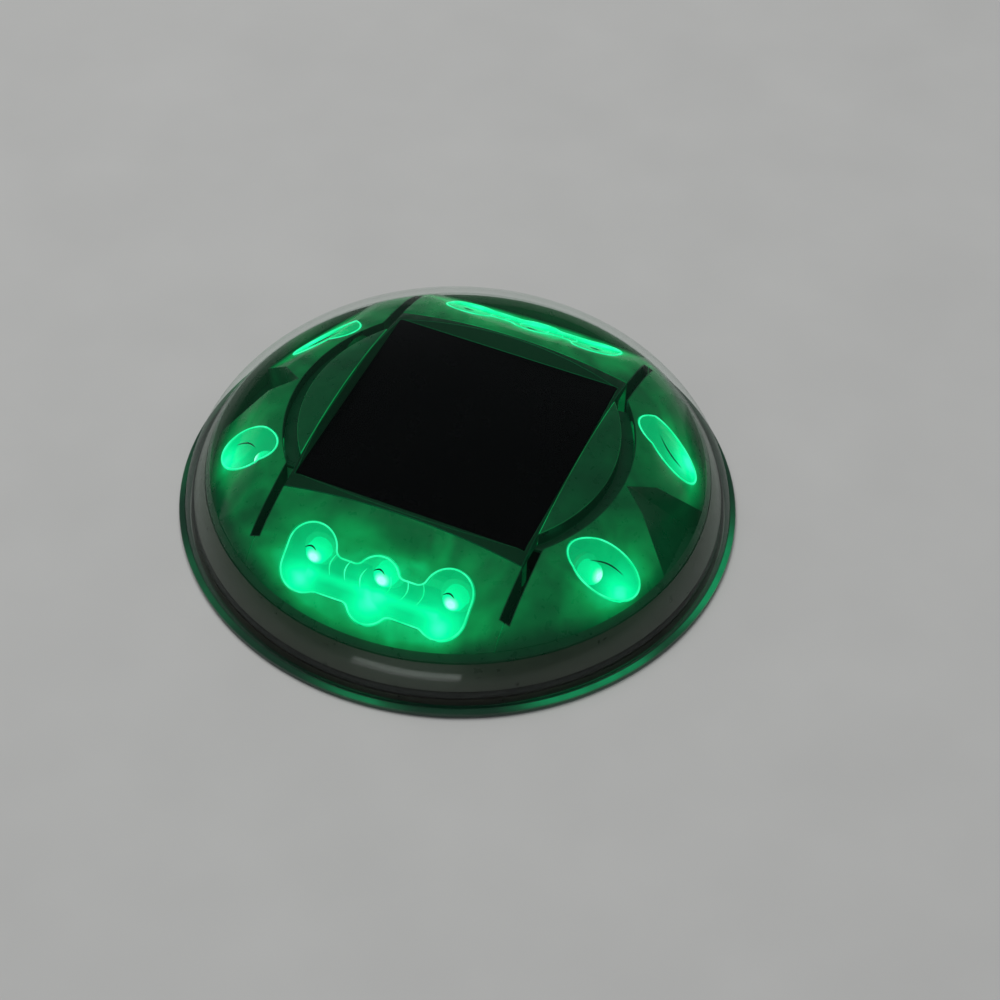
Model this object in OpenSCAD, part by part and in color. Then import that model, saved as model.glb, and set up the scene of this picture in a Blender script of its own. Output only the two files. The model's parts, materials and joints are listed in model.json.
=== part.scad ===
// Raised pavement marker: a round solar road stud with a clear domed cover, a sealed tray,
// a faceted inner housing with ten lamps behind six lenses, and a square solar panel on top.
// Millimetres. The origin is the centre of the underside, +Z is up, -Y faces the front three-lobed lens.

/* [Overall] */
// Diameter across the foot lip of the cover
marker_d = 120; // [119.6:0.2:121]
// Height of the crown of the cover above the road
marker_h = 28.5; // [28.5:0.1:29.5]
// Wall of the clear cover
cover_wall = 1.4; // [1.2:0.1:1.5]
// Width of the foot lip beyond the skirt of the dome
lip_w = 0.6; // [0.4:0.1:0.8]

/* [Solar panel] */
// Side of the square solar panel
panel_side = 51.2; // [50:0.1:51.4]
// Height of the top face of the panel
panel_z = 21.2; // [21:0.05:21.3]
// Number of cell strips in the panel
cell_count = 6; // [4:1:10]

/* [Lamps] */
// Diameter of one lamp
lamp_d = 5; // [4:0.1:5.2]
// Distance between neighbouring lamps of the three-lobed lenses
lobe_pitch = 15.3; // [14.8:0.1:15.6]
// Slope of the front and rear bays, in degrees
bay_slope = 36; // [35:0.5:37]
// Slope of the side pods, in degrees
pod_slope = 44; // [43:0.5:45]

/* [Power button] */
// Diameter of the push button in the underside
button_d = 8; // [6:0.1:8.2]
// Travel of the push button
button_travel = 1; // [0.6:0.1:1.1]

/* [Colours] */
// Colour of the clear cover
cover_colour = "honeydew"; // [honeydew, white, lightgrey]
// Colour of the lit housing
housing_colour = "seagreen"; // [seagreen, mediumseagreen, darkgreen]
// Colour of the lit lenses
lens_colour = "springgreen"; // [springgreen, lime, palegreen]

/* [Hidden] */
$fn = 96;
far = 300;

// Dome: a crown sphere and a rim arc that meet tangentially; every shell of it is an inset of the same two arcs.
skirt_r = marker_d/2 - lip_w;
crown_rad = 115.4;
join_r = 44.54;
join_angle = asin(join_r/crown_rad);
crown_cz = marker_h - crown_rad;
rim_rad = (skirt_r - join_r)/(1 - sin(join_angle));
rim_cr = skirt_r - rim_rad;
rim_cz = crown_cz + (crown_rad - rim_rad)*cos(join_angle);

// Insets of the shells below the outer face of the cover
tray_inset = cover_wall + 0.3;
housing_inset = cover_wall + 0.2;

// Cover foot
cover_z = 0.2;
lip_top = 1.5;
groove_top = 2.3;
groove_depth = 0.6;

// Tray
floor_t = 2.4;
upstand_r = 54;
seal_r = 56.2;
seal_d = 1.7;
seal_z = 3.2;
key_groove_w = 2;
key_groove_depth = 0.8;
key_groove_radii = [30, 38, 46];
key_cross_w = 3;

// Bays and pods
body_wall = 1.6;
ring_outer_r = 53.8;
ring_inner_r = 52.8;
bay_half_w = 26.7;
slot_w = 2;
slot_end_y = 40;
lamp_window_z = 14.8;
bay_y = 39.8;
bay_z = 16.4;
pod_x = 40.7;
pod_y = 18.7;
pod_z = 15.4;
pod_turn = 21;
notch_apex = 37.8;
notch_half_angle = 38;
notch_slope = 54.5;
notch_top_z = 20.6;
notch_floor_z = 4.1;

// Deck
deck_r = 34;
deck_half_l = 28.85;
deck_floor_z = 17.4;
deck_floor_t = 1.25;
deck_flange_t = 1;
deck_wall = 1.5;
flange_half_l = 22;
lead_hole_y = -12;
channel_r = 37;
bezel_half_w = 26.5;
boss_x = 21;
boss_y = 20;
boss_d = 6;
boss_foot_z = 4.4;
screw_d = 2.5;
clearance = 0.15;

// Panel layers, downwards from panel_z
glass_t = 1.2;
cell_t = 0.4;
backing_t = 0.8;
cell_gap = 0.6;
ribbon_w = 1.6;

// Lenses: lobes are stadiums in the plane of the bay, v is measured up the slope from the lamp line
lens_t = 2.2;
side_lobe_r = 5.2;
side_lobe_v = [-3.65, 0.85];
mid_lobe_r = 4.9;
mid_lobe_v = [-5.9, -1];
link_v = [-7.8, 0.6];
link_fillet = 1.9;
arc_step = 9;
pod_lens_half_l = 9.3;
pod_lens_half_w = 5.55;
pod_lens_turn = 28;
lens_gap = 0.12;

// Lamps stand back from the outer face of their lens, a little down its slope, and rise towards it
lamp_rise = 20;
lamp_drop = 3;
lamp_setback = 3.8;
lamp_l = 8.6;
lamp_flange_d = 5.8;
lamp_flange_t = 1;
lamp_leg = 2;
led_board_t = 1.2;
led_board_half = 4;
holder_wall = 0.8;
holder_l = 4.5;
pod_bore_r = lamp_flange_d/2 + holder_wall + 0.3;
pod_bore_near = 6.5;
pod_bore_l = 20;

// Electronics
board_x = 17.5;
board_y = [-22.5, -3.5];
board_z = 8;
board_t = 1.6;
board_mid_y = (board_y[0] + board_y[1])/2;
board_top_z = board_z + board_t;
post_d = 5;
post_x = 14.5;
post_y = [-20, -6];
battery_d = 14;
battery_l = 49;
battery_y = 8;
battery_z = 10.1;
button_x = 0;
button_y = -13;
button_face_z = 0.6;
button_top_z = 4.2;
button_flange_d = button_d + 2.4;
button_flange_z = 3;
switch_z = button_top_z + button_travel + 0.2;
switch_side = 6;
plunger_d = 3.2;
plunger_top_z = 6.4;
connector_x = [-3.45, -1.15, 1.15, 3.45];
wire_d = 1.3;
wire_sides = 8;
wire_side = [0.31, 0.52, 0.79];

// ---- shared shapes ----

// Half section of the solid dome, all of it inset by the given depth
module dome_profile(inset) {
    join_far = [far*sin(join_angle), crown_cz + far*cos(join_angle)];
    intersection() {
        square([marker_d, marker_d]);
        union() {
            intersection() {
                translate([0, crown_cz]) circle(r = crown_rad - inset);
                polygon([[0, crown_cz], join_far, [0, crown_cz + far]]);
            }
            intersection() {
                translate([rim_cr, rim_cz]) circle(r = rim_rad - inset);
                polygon([[0, crown_cz], [far, crown_cz], join_far]);
            }
        }
    }
}

module dome(inset) {
    rotate_extrude() dome_profile(inset);
}

module pipe(outer_r, inner_r, z0, z1) {
    difference() {
        translate([0, 0, z0]) cylinder(r = outer_r, h = z1 - z0);
        translate([0, 0, z0 - 1]) cylinder(r = inner_r, h = z1 - z0 + 2);
    }
}

module rounded_plate(half_x, half_y, r, t) {
    linear_extrude(height = t) rounded_outline(half_x, half_y, r);
}

module rounded_outline(half_x, half_y, r) {
    square([2*half_x, 2*(half_y - r)], center = true);
    square([2*(half_x - r), 2*half_y], center = true);
    for (sx = [-1, 1], sy = [-1, 1])
        translate([sx*(half_x - r), sy*(half_y - r)]) circle(r = r);
}

function unit(v) = v/norm(v);

// Direction of a route at its point i, halfway between the two stretches that meet there
function heading(route, i) =
    i == 0 ? unit(route[1] - route[0]) :
    i == len(route) - 1 ? unit(route[i] - route[i - 1]) :
    unit(unit(route[i + 1] - route[i]) + unit(route[i] - route[i - 1]));

function ring_points(centre, along, d) =
    let (u = unit(cross(along, wire_side)), v = cross(along, u))
    [for (k = [0 : wire_sides - 1])
        centre + d/2*(cos(360*k/wire_sides)*u + sin(360*k/wire_sides)*v)];

// A wire swept through the given points
module wire(route, d) {
    n = wire_sides;
    last = len(route) - 1;
    points = [for (i = [0 : last]) each ring_points(route[i], heading(route, i), d)];
    sides = [for (i = [0 : last - 1], k = [0 : n - 1])
        let (a = i*n + k, b = i*n + (k + 1)%n)
        each [[a, b + n, b], [a, a + n, b + n]]];
    start = [for (k = [0 : n - 1]) k];
    end = [for (k = [n - 1 : -1 : 0]) last*n + k];
    polyhedron(points = points, faces = concat([start], sides, [end]));
}

// ---- planes of the bays and pods ----

// Frame of the front bay: X to the right, Y up the slope, Z out of the face, origin on the lamp line
module on_front_bay() {
    translate([0, -bay_y, bay_z]) rotate([bay_slope, 0, 0]) children();
}

// Frame of the right front pod: Y up the slope, Z out of the face, origin at the middle of the lens
module on_pod() {
    translate([pod_x, -pod_y, pod_z])
        rotate([0, 0, 90 - pod_turn]) rotate([pod_slope, 0, 0]) children();
}

// Places a child of the right front pod on the pod with the given signs
module at_pod(sx, sy) {
    mirror([sx < 0 ? 1 : 0, 0, 0]) mirror([0, sy > 0 ? 1 : 0, 0]) children();
}

// ---- lens outlines ----

// Points of an arc; the first one is left out where the arc goes on from the one before
function arc(centre, r, from, to, skip = 1) =
    let (steps = ceil(abs(to - from)/arc_step))
    [for (i = [skip : steps])
        let (a = from + (to - from)*i/steps)
        centre + r*[cos(a), sin(a)]];

// Distance along the link from the middle of a lobe to the middle of the fillet that touches it
function waist_x(lobe_r, rise) = sqrt(pow(lobe_r + link_fillet, 2) - pow(rise, 2));

// The +X half of the three-lobed outline, from the foot of the middle lobe round to its top
function half_triple(grow) =
    let (low = link_v[0] - link_fillet,
         high = link_v[1] + link_fillet,
         fillet = link_fillet - grow,
         mid_r = mid_lobe_r + grow,
         side_r = side_lobe_r + grow,
         mid_low = waist_x(mid_lobe_r, low - mid_lobe_v[0]),
         mid_high = waist_x(mid_lobe_r, high - mid_lobe_v[1]),
         side_low = waist_x(side_lobe_r, low - side_lobe_v[0]),
         side_high = waist_x(side_lobe_r, high - side_lobe_v[1]),
         mid_low_a = atan2(low - mid_lobe_v[0], mid_low),
         mid_high_a = atan2(high - mid_lobe_v[1], mid_high),
         side_low_a = atan2(low - side_lobe_v[0], -side_low),
         side_high_a = atan2(high - side_lobe_v[1], -side_high))
    concat(
        arc([0, mid_lobe_v[0]], mid_r, -90, mid_low_a),
        arc([mid_low, low], fillet, mid_low_a + 180, 90),
        arc([lobe_pitch - side_low, low], fillet, 90, side_low_a + 180, 0),
        arc([lobe_pitch, side_lobe_v[0]], side_r, side_low_a, 0),
        arc([lobe_pitch, side_lobe_v[1]], side_r, 0, side_high_a, 0),
        arc([lobe_pitch - side_high, high], fillet, side_high_a - 180, -90),
        arc([mid_high, high], fillet, -90, mid_high_a - 180, 0),
        arc([0, mid_lobe_v[1]], mid_r, mid_high_a, 90));

module triple_outline(grow) {
    right = half_triple(grow);
    left = [for (i = [len(right) - 2 : -1 : 0]) [-right[i].x, right[i].y]];
    foot = [0, mid_lobe_v[0] - mid_lobe_r - grow];
    polygon(concat([foot], right, left));
}

module pod_outline(grow) {
    half_w = pod_lens_half_w + grow;
    half_l = pod_lens_half_l + grow;
    rotate(pod_lens_turn)
        polygon([for (a = [0 : 7.5 : 359]) [half_w*cos(a), half_l*sin(a)]]);
}

// ---- inner bodies: each is a cup that is open below, with the same wall all round ----

// Space above a sloped face, moved into the body by grow
module above_face(grow) {
    translate([-far/2, -far/2, -grow]) cube([far, far, far]);
}

// Front bay between the two slots, every face moved inwards by grow; it widens where the slots end
module bay_form(grow) {
    end_half_w = bay_half_w + slot_w/2 - clearance/2;
    difference() {
        intersection() {
            dome(housing_inset + grow);
            cylinder(r = ring_inner_r - clearance - grow, h = 60);
            union() {
                translate([-bay_half_w + grow, -far, 0])
                    cube([2*(bay_half_w - grow), far - deck_half_l - clearance - grow, 60]);
                translate([-end_half_w + grow, -far, 0])
                    cube([2*(end_half_w - grow), far - slot_end_y - grow, 60]);
            }
        }
        on_front_bay() above_face(grow);
    }
}

module front_bay() {
    inner_x = bay_half_w - body_wall;
    color(housing_colour) difference() {
        bay_form(0);
        bay_form(body_wall);
        translate([-far/2, -far/2, -1]) cube([far, far, floor_t + clearance + 1]);
        translate([-inner_x, -deck_half_l - 4, 0]) cube([2*inner_x, 8, lamp_window_z]);
        on_front_bay() translate([0, 0, -6]) linear_extrude(height = 12) triple_outline(lens_gap);
    }
}

module rear_bay() {
    rotate([0, 0, 180]) front_bay();
}

// Both pods of the +X side, every face moved inwards by grow
module side_form(grow) {
    end_x = bay_half_w + slot_w/2 + clearance/2;
    difference() {
        intersection() {
            dome(housing_inset + grow);
            cylinder(r = ring_inner_r - clearance - grow, h = 60);
            union() {
                translate([bay_half_w + slot_w + grow, -far/2, 0]) cube([far, far, 60]);
                for (sy = [-1, 1])
                    translate([end_x + grow, sy*(slot_end_y + grow + far/2) - far/2, 0])
                        cube([far, far, 60]);
            }
        }
        translate([0, 0, -1]) cylinder(r = channel_r + grow, h = 70);
        for (sy = [-1, 1])
            at_pod(1, sy) on_pod() above_face(grow);
        notch(grow);
    }
}

// Wedge notch between the two pods, with a steep flat back and a low floor
module notch(grow) {
    apex = notch_apex - grow/sin(notch_half_angle);
    reach = 40;
    spread = reach*tan(notch_half_angle);
    intersection() {
        translate([0, 0, -1]) linear_extrude(height = 60)
            polygon([[apex, 0], [apex + reach, -spread], [apex + reach, spread]]);
        translate([notch_apex, 0, notch_top_z]) rotate([0, notch_slope, 0]) above_face(grow);
        translate([0, -far/2, notch_floor_z - grow]) cube([far, far, far]);
    }
}

module right_side_body() {
    color(housing_colour) difference() {
        side_form(0);
        side_form(body_wall);
        translate([-far/2, -far/2, -1]) cube([far, far, floor_t + clearance + 1]);
        for (sy = [-1, 1])
            at_pod(1, sy) {
                on_pod_lamp() translate([0, 0, -pod_bore_l]) cylinder(r = pod_bore_r, h = pod_bore_l - pod_bore_near);
                on_pod() translate([0, 0, -6]) linear_extrude(height = 12) pod_outline(lens_gap);
            }
    }
}

module left_side_body() {
    mirror([1, 0, 0]) right_side_body();
}

// Clear ring that stands inside the upstand of the tray and closes the bays outwards
module light_ring() {
    color("palegreen") intersection() {
        dome(housing_inset);
        pipe(ring_outer_r, ring_inner_r, floor_t + clearance, 40);
    }
}

// ---- shells ----

module clear_cover() {
    color(cover_colour, 0.45) rotate_extrude() difference() {
        union() {
            dome_profile(0);
            translate([0, cover_z]) square([marker_d/2 - 0.4, lip_top - cover_z]);
            translate([marker_d/2 - 0.4, cover_z + 0.4]) circle(r = 0.4, $fn = 24);
            translate([marker_d/2 - 0.4, lip_top - 0.4]) circle(r = 0.4, $fn = 24);
            translate([marker_d/2 - 0.5, cover_z + 0.4]) square([0.5, lip_top - cover_z - 0.8]);
        }
        dome_profile(cover_wall);
        translate([-1, -1]) square([marker_d, cover_z + 1]);
        translate([skirt_r - groove_depth, lip_top]) square([5, groove_top - lip_top]);
    }
}

module base_tray() {
    color("dimgrey") difference() {
        union() {
            difference() {
                dome(tray_inset);
                translate([0, 0, floor_t]) cylinder(r = upstand_r, h = 60);
            }
            for (sx = [-1, 1], sy = [-1, 1])
                translate([sx*boss_x, sy*boss_y, 0]) cylinder(d = boss_d + 3, h = boss_foot_z);
            for (sx = [-1, 1], y = post_y)
                translate([sx*post_x, y, 0]) cylinder(d = post_d, h = board_z);
        }
        rotate_extrude() translate([seal_r - 1, seal_z - 1]) square([10, 2]);
        for (r = key_groove_radii)
            pipe(r + key_groove_w/2, r - key_groove_w/2, -1, key_groove_depth);
        for (turn = [0, 90])
            rotate([0, 0, turn + 45])
                translate([-52, -key_cross_w/2, -1]) cube([104, key_cross_w, key_groove_depth + 1]);
        for (sx = [-1, 1], sy = [-1, 1])
            translate([sx*boss_x, sy*boss_y, -1]) {
                cylinder(d = screw_d + 0.4, h = 20);
                cylinder(d = 5.4, h = 3.2);
            }
        for (sx = [-1, 1], y = post_y)
            translate([sx*post_x, y, floor_t]) cylinder(d = 1.6, h = 20);
        translate([button_x, button_y, -1]) cylinder(d = button_d + 0.4, h = 20);
        translate([button_x, button_y, -1]) cylinder(d = button_d + 3, h = 1 + button_face_z);
    }
}

module rim_seal() {
    color("black") rotate_extrude()
        translate([seal_r + 0.1, seal_z]) circle(d = seal_d, $fn = 32);
}

module deck_outline(gap) {
    intersection() {
        circle(r = deck_r - gap);
        square([2*deck_r, 2*(deck_half_l - gap)], center = true);
    }
}

module top_deck() {
    color(housing_colour) difference() {
        union() {
            difference() {
                intersection() {
                    dome(housing_inset);
                    translate([0, 0, deck_floor_z]) linear_extrude(height = 20) deck_outline(0);
                }
                for (side = [0, 180])
                    rotate([0, 0, side]) segment_hollow();
            }
            translate([0, 0, deck_floor_z]) linear_extrude(height = deck_flange_t) intersection() {
                circle(r = channel_r - clearance);
                square([2*channel_r, 2*flange_half_l], center = true);
            }
            for (sx = [-1, 1], sy = [-1, 1])
                translate([sx*boss_x, sy*boss_y, boss_foot_z + 0.05])
                    cylinder(d = boss_d, h = deck_floor_z + deck_floor_t - boss_foot_z - 0.3);
        }
        translate([-bezel_half_w - clearance, -far/2, deck_floor_z + deck_floor_t])
            cube([2*(bezel_half_w + clearance), far, 60]);
        for (sx = [-1, 1], sy = [-1, 1])
            translate([sx*boss_x, sy*boss_y, 0]) cylinder(d = screw_d - 0.3, h = deck_floor_z - 1);
        translate([0, lead_hole_y, 0]) cylinder(d = 5, h = 60);
    }
}

// Hollow under the light segment on the +X side of the panel
module segment_hollow() {
    intersection() {
        dome(housing_inset + deck_wall);
        translate([0, 0, deck_floor_z - 1]) cylinder(r = deck_r - deck_wall, h = 20);
        translate([bezel_half_w + deck_wall, -far/2, 0]) cube([far, far, 60]);
    }
}

module panel_bezel() {
    half = panel_side/2 + 0.1;
    rim_z = panel_z + 5;
    rim_x = bezel_half_w + 1.4;
    rim_y = deck_half_l + 3;
    color("darkslategrey") difference() {
        intersection() {
            dome(housing_inset);
            translate([-bezel_half_w, -deck_half_l, deck_floor_z + deck_floor_t])
                cube([2*bezel_half_w, 2*deck_half_l, 20]);
        }
        translate([-half, -half, 0]) cube([2*half, 2*half, 60]);
        intersection() {
            rotate([90, 0, 0]) translate([0, 0, -far/2]) linear_extrude(height = far)
                polygon([[-half, panel_z], [half, panel_z], [rim_x, rim_z], [-rim_x, rim_z]]);
            rotate([90, 0, 90]) translate([0, 0, -far/2]) linear_extrude(height = far)
                polygon([[-half, panel_z], [half, panel_z], [rim_y, rim_z], [-rim_y, rim_z]]);
        }
    }
}

// ---- solar panel ----

module panel_glass() {
    color("black") translate([0, 0, panel_z - glass_t])
        rounded_plate(panel_side/2, panel_side/2, 0.4, glass_t);
}

module solar_cells() {
    pitch = (panel_side - 1)/cell_count;
    color("midnightblue") for (i = [0 : cell_count - 1])
        translate([-panel_side/2 + 0.5 + i*pitch + cell_gap/2, -panel_side/2 + 1, panel_z - glass_t - cell_t])
            cube([pitch - cell_gap, panel_side - 2, cell_t]);
}

module cell_ribbons() {
    ribbon_z = panel_z - glass_t - cell_t - 0.2;
    color("silver") for (y = [-15, 15])
        translate([-panel_side/2 + 2, y - ribbon_w/2, ribbon_z]) cube([panel_side - 4, ribbon_w, 0.2]);
}

module panel_backing() {
    top_z = panel_z - glass_t - cell_t - 0.2;
    color("darkgreen") translate([0, 0, top_z - backing_t + 0.1])
        rounded_plate(panel_side/2, panel_side/2, 0.4, backing_t - 0.1);
}

// ---- lenses ----

module front_lens() {
    color(lens_colour) intersection() {
        dome(housing_inset);
        on_front_bay() translate([0, 0, -lens_t]) linear_extrude(height = lens_t) triple_outline(0);
    }
}

module rear_lens() {
    rotate([0, 0, 180]) front_lens();
}

module pod_lens() {
    color(lens_colour) intersection() {
        dome(housing_inset);
        on_pod() translate([0, 0, -lens_t]) linear_extrude(height = lens_t) pod_outline(0);
    }
}

module lens_right_front() at_pod(1, -1) pod_lens();
module lens_right_rear() at_pod(1, 1) pod_lens();
module lens_left_front() at_pod(-1, -1) pod_lens();
module lens_left_rear() at_pod(-1, 1) pod_lens();

// ---- lamps ----

// Frame of a lamp: +Z points out along its axis, origin on the outer face of the lens
module on_bay_lamp(x) {
    on_front_bay() translate([x, -lamp_drop, 0])
        rotate([90 - lamp_rise - bay_slope, 0, 0]) children();
}

module on_pod_lamp() {
    on_pod() translate([0, -lamp_drop, 0]) rotate([90 - lamp_rise - pod_slope, 0, 0]) children();
}

module lamp() {
    tip = -lamp_setback;
    base = tip - lamp_l;
    color("palegreen") {
        translate([0, 0, tip - lamp_d/2]) sphere(d = lamp_d, $fn = 48);
        translate([0, 0, base]) cylinder(d = lamp_d, h = lamp_l - lamp_d/2, $fn = 48);
        translate([0, 0, base]) cylinder(d = lamp_flange_d, h = lamp_flange_t, $fn = 48);
    }
    color("silver") for (sx = [-1, 1])
        translate([sx*1.27 - 0.25, -0.25, base - lamp_leg]) cube([0.5, 0.5, lamp_leg + 0.5]);
}

module led_front_left() on_bay_lamp(-lobe_pitch) lamp();
module led_front_centre() on_bay_lamp(0) lamp();
module led_front_right() on_bay_lamp(lobe_pitch) lamp();
module led_rear_left() rotate([0, 0, 180]) on_bay_lamp(lobe_pitch) lamp();
module led_rear_centre() rotate([0, 0, 180]) on_bay_lamp(0) lamp();
module led_rear_right() rotate([0, 0, 180]) on_bay_lamp(-lobe_pitch) lamp();
module led_right_front() at_pod(1, -1) on_pod_lamp() lamp();
module led_right_rear() at_pod(1, 1) on_pod_lamp() lamp();
module led_left_front() at_pod(-1, -1) on_pod_lamp() lamp();
module led_left_rear() at_pod(-1, 1) on_pod_lamp() lamp();

// Sleeve that holds one lamp by its flange
module lamp_sleeve() {
    base = -lamp_setback - lamp_l;
    translate([0, 0, base]) pipe(lamp_flange_d/2 + holder_wall, lamp_flange_d/2 + 0.05, 0, lamp_flange_t);
    translate([0, 0, base]) pipe(lamp_flange_d/2 + holder_wall, lamp_d/2 + 0.05, lamp_flange_t + 0.05, holder_l);
}

module front_led_holder() {
    base = -lamp_setback - lamp_l;
    color("whitesmoke") {
        for (x = [-lobe_pitch, 0, lobe_pitch])
            on_bay_lamp(x) lamp_sleeve();
        on_bay_lamp(0) for (sx = [-1, 1])
            translate([sx*lobe_pitch/2 - 4.3, -1, base + 1]) cube([8.6, 2, 2]);
    }
}

module rear_led_holder() {
    rotate([0, 0, 180]) front_led_holder();
}

module right_led_holders() {
    color("whitesmoke") for (sy = [-1, 1])
        at_pod(1, sy) on_pod_lamp() lamp_sleeve();
}

module left_led_holders() {
    mirror([1, 0, 0]) right_led_holders();
}

module front_led_board() {
    board_top = -lamp_setback - lamp_l - lamp_leg;
    color("forestgreen") on_bay_lamp(0) translate([0, 0, board_top - led_board_t])
        rounded_plate(lobe_pitch + led_board_half, led_board_half, 1, led_board_t);
}

module rear_led_board() {
    rotate([0, 0, 180]) front_led_board();
}

module right_led_boards() {
    board_top = -lamp_setback - lamp_l - lamp_leg;
    color("forestgreen") for (sy = [-1, 1])
        at_pod(1, sy) on_pod_lamp() translate([0, 0, board_top - led_board_t])
            cylinder(r = led_board_half, h = led_board_t);
}

module left_led_boards() {
    mirror([1, 0, 0]) right_led_boards();
}

// ---- electronics ----

module main_board() {
    color("darkgreen") difference() {
        translate([0, board_mid_y, board_z])
            rounded_plate(board_x, (board_y[1] - board_y[0])/2, 1.5, board_t);
        for (sx = [-1, 1], y = post_y)
            translate([sx*post_x, y, board_z - 1]) cylinder(d = 2.2, h = board_t + 2);
    }
}

module controller_chip() {
    color("black") translate([-2.5, board_mid_y - 2, board_top_z + 0.1]) cube([5, 4, 1.5]);
    color("silver") for (i = [0 : 3], side = [-1, 1])
        translate([-1.905 + i*1.27 - 0.2, board_mid_y + side*2.6 - 0.6, board_top_z]) cube([0.4, 1.2, 0.3]);
}

module power_inductor() {
    color("dimgrey") translate([9, board_mid_y + 1, board_top_z]) {
        cylinder(d = 7, h = 0.8);
        cylinder(d = 4.4, h = 4);
        translate([0, 0, 3.2]) cylinder(d = 7, h = 0.8);
    }
    color("peru") translate([9, board_mid_y + 1, board_top_z + 0.8]) cylinder(d = 6, h = 2.4);
}

module storage_capacitor() {
    color("navy") translate([-9.5, board_mid_y + 1, board_top_z]) difference() {
        cylinder(d = 5, h = 6.2);
        translate([-0.15, -2, 6]) cube([0.3, 4, 1]);
        translate([-2, -0.15, 6]) cube([4, 0.3, 1]);
    }
}

module charge_diode() {
    color("black") translate([3.6, -20.5, board_top_z]) cube([4.2, 2.4, 1.6]);
}

module board_resistors() {
    color("black") for (x = [-8, -5, -2])
        translate([x, -19.8, board_top_z]) cube([1.6, 0.8, 0.5]);
}

module wire_connector() {
    color("ivory") translate([0, -7.6, board_top_z]) difference() {
        translate([-5, 0, 0]) cube([10, 3.4, 4.4]);
        for (x = connector_x)
            translate([x - 0.85, 0.7, 2]) cube([1.7, 2, 3]);
    }
}

module screw(d, head_d, head_h, length) {
    difference() {
        union() {
            cylinder(d = head_d, h = head_h, $fn = 32);
            cylinder(d = d, h = length, $fn = 32);
        }
        for (turn = [0, 90])
            rotate([0, 0, turn]) translate([-head_d*0.3, -0.3, -1]) cube([head_d*0.6, 0.6, 1.8]);
    }
}

module board_screws() {
    color("silver") for (sx = [-1, 1], y = post_y)
        translate([sx*post_x, y, board_top_z + 1.3]) mirror([0, 0, 1]) screw(1.6, 3.2, 1.3, 7);
}

module deck_screws() {
    color("silver") for (sx = [-1, 1], sy = [-1, 1])
        translate([sx*boss_x, sy*boss_y, 0.5]) screw(screw_d - 0.4, 4.8, 1.7, 11);
}

module battery_cell() {
    color("limegreen") translate([-battery_l/2, battery_y, battery_z]) rotate([0, 90, 0]) {
        cylinder(d = battery_d, h = battery_l - 1.2);
        cylinder(d = 5.5, h = battery_l);
    }
}

module battery_holder() {
    half_l = battery_l/2 + 0.9;
    holder_z = floor_t;
    color("black") difference() {
        translate([-half_l, battery_y - battery_d/2 - 0.4, holder_z])
            cube([2*half_l, battery_d + 0.8, 5.2]);
        translate([-half_l - 1, battery_y, battery_z]) rotate([0, 90, 0])
            cylinder(d = battery_d + 0.3, h = 2*half_l + 2);
        for (sx = [-1, 1])
            translate([sx*12 - 5, battery_y - 20, holder_z + 1.6]) cube([10, 40, 10]);
        for (sx = [-1, 1], sy = [-1, 1])
            translate([sx*boss_x, sy*boss_y, 0]) cylinder(d = boss_d + 3.6, h = 20);
    }
}

module battery_tabs() {
    color("silver") for (sx = [-1, 1])
        translate([sx*(battery_l/2 + 0.25) - 0.15, battery_y - 3, battery_z - 3]) cube([0.3, 6, 6]);
}

// Routes end in the four cavities of the connector
module panel_leads() {
    color("red") wire([[-0.9, -12, 18.6], [-0.9, -12, 16.4], [connector_x[1], -8, 15.6],
                       [connector_x[1], -6.3, 15.3], [connector_x[1], -5.9, 12.2]], wire_d);
    color("black") wire([[0.9, -12, 18.6], [0.9, -12, 16.9], [connector_x[2], -8, 16.2],
                         [connector_x[2], -6.3, 15.6], [connector_x[2], -5.9, 12.2]], wire_d);
}

module battery_leads() {
    color("red") wire([[25.3, 6, 9], [26.2, 5, 9], [25.5, -1, 11], [8, -1.2, 13.4], [4.2, -3, 15],
                       [connector_x[3], -5.4, 15.2], [connector_x[3], -5.9, 12.2]], wire_d);
    color("black") wire([[-25.3, 6, 9], [-26.2, 5, 9], [-25.5, -1, 11], [-8, -1.2, 13.4], [-4.2, -3, 15],
                         [connector_x[0], -5.4, 15.2], [connector_x[0], -5.9, 12.2]], wire_d);
}

module led_leads() {
    color("white") {
        wire([[-6, -26.7, 9.1], [-6, -24.6, 11.2], [-6, -21.5, 11.7], [-6, -21.5, 9.8]], wire_d);
        wire([[6, -26.7, 9.1], [6, -24.6, 11.2], [6, -21.8, 11.7], [6, -21.8, 9.8]], wire_d);
    }
    color("gold") for (sx = [-1, 1])
        wire([[sx*28.2, -13.9, 7.8], [sx*24, -12.2, 11.6], [sx*17, -12.2, 11.6], [sx*16, -12.2, 9.8]], wire_d);
    color("orange") for (sx = [-1, 1])
        wire([[sx*28.2, 13.9, 7.8], [sx*26.4, 3, 13.6], [sx*24, -3, 13.8], [sx*16.2, -9, 12], [sx*15.6, -9.4, 9.8]], wire_d);
}

// ---- power button ----

module push_switch() {
    color("dimgrey") translate([button_x, button_y, 0]) difference() {
        translate([-switch_side/2, -switch_side/2, switch_z])
            cube([switch_side, switch_side, board_z - switch_z]);
        translate([0, 0, switch_z - 1]) cylinder(d = plunger_d + 0.4, h = 1 + board_z - switch_z - 0.4);
    }
}

module switch_plunger() {
    color("ivory") translate([button_x, button_y, button_top_z])
        cylinder(d = plunger_d, h = plunger_top_z - button_top_z);
}

module power_button() {
    color("darkslategrey") translate([button_x, button_y, 0]) {
        difference() {
            translate([0, 0, button_face_z]) cylinder(d = button_d, h = button_top_z - button_face_z);
            translate([0, 0, button_face_z - 11.4]) sphere(r = 12);
        }
        translate([0, 0, button_flange_z]) cylinder(d = button_flange_d, h = 0.7);
    }
}

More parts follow.
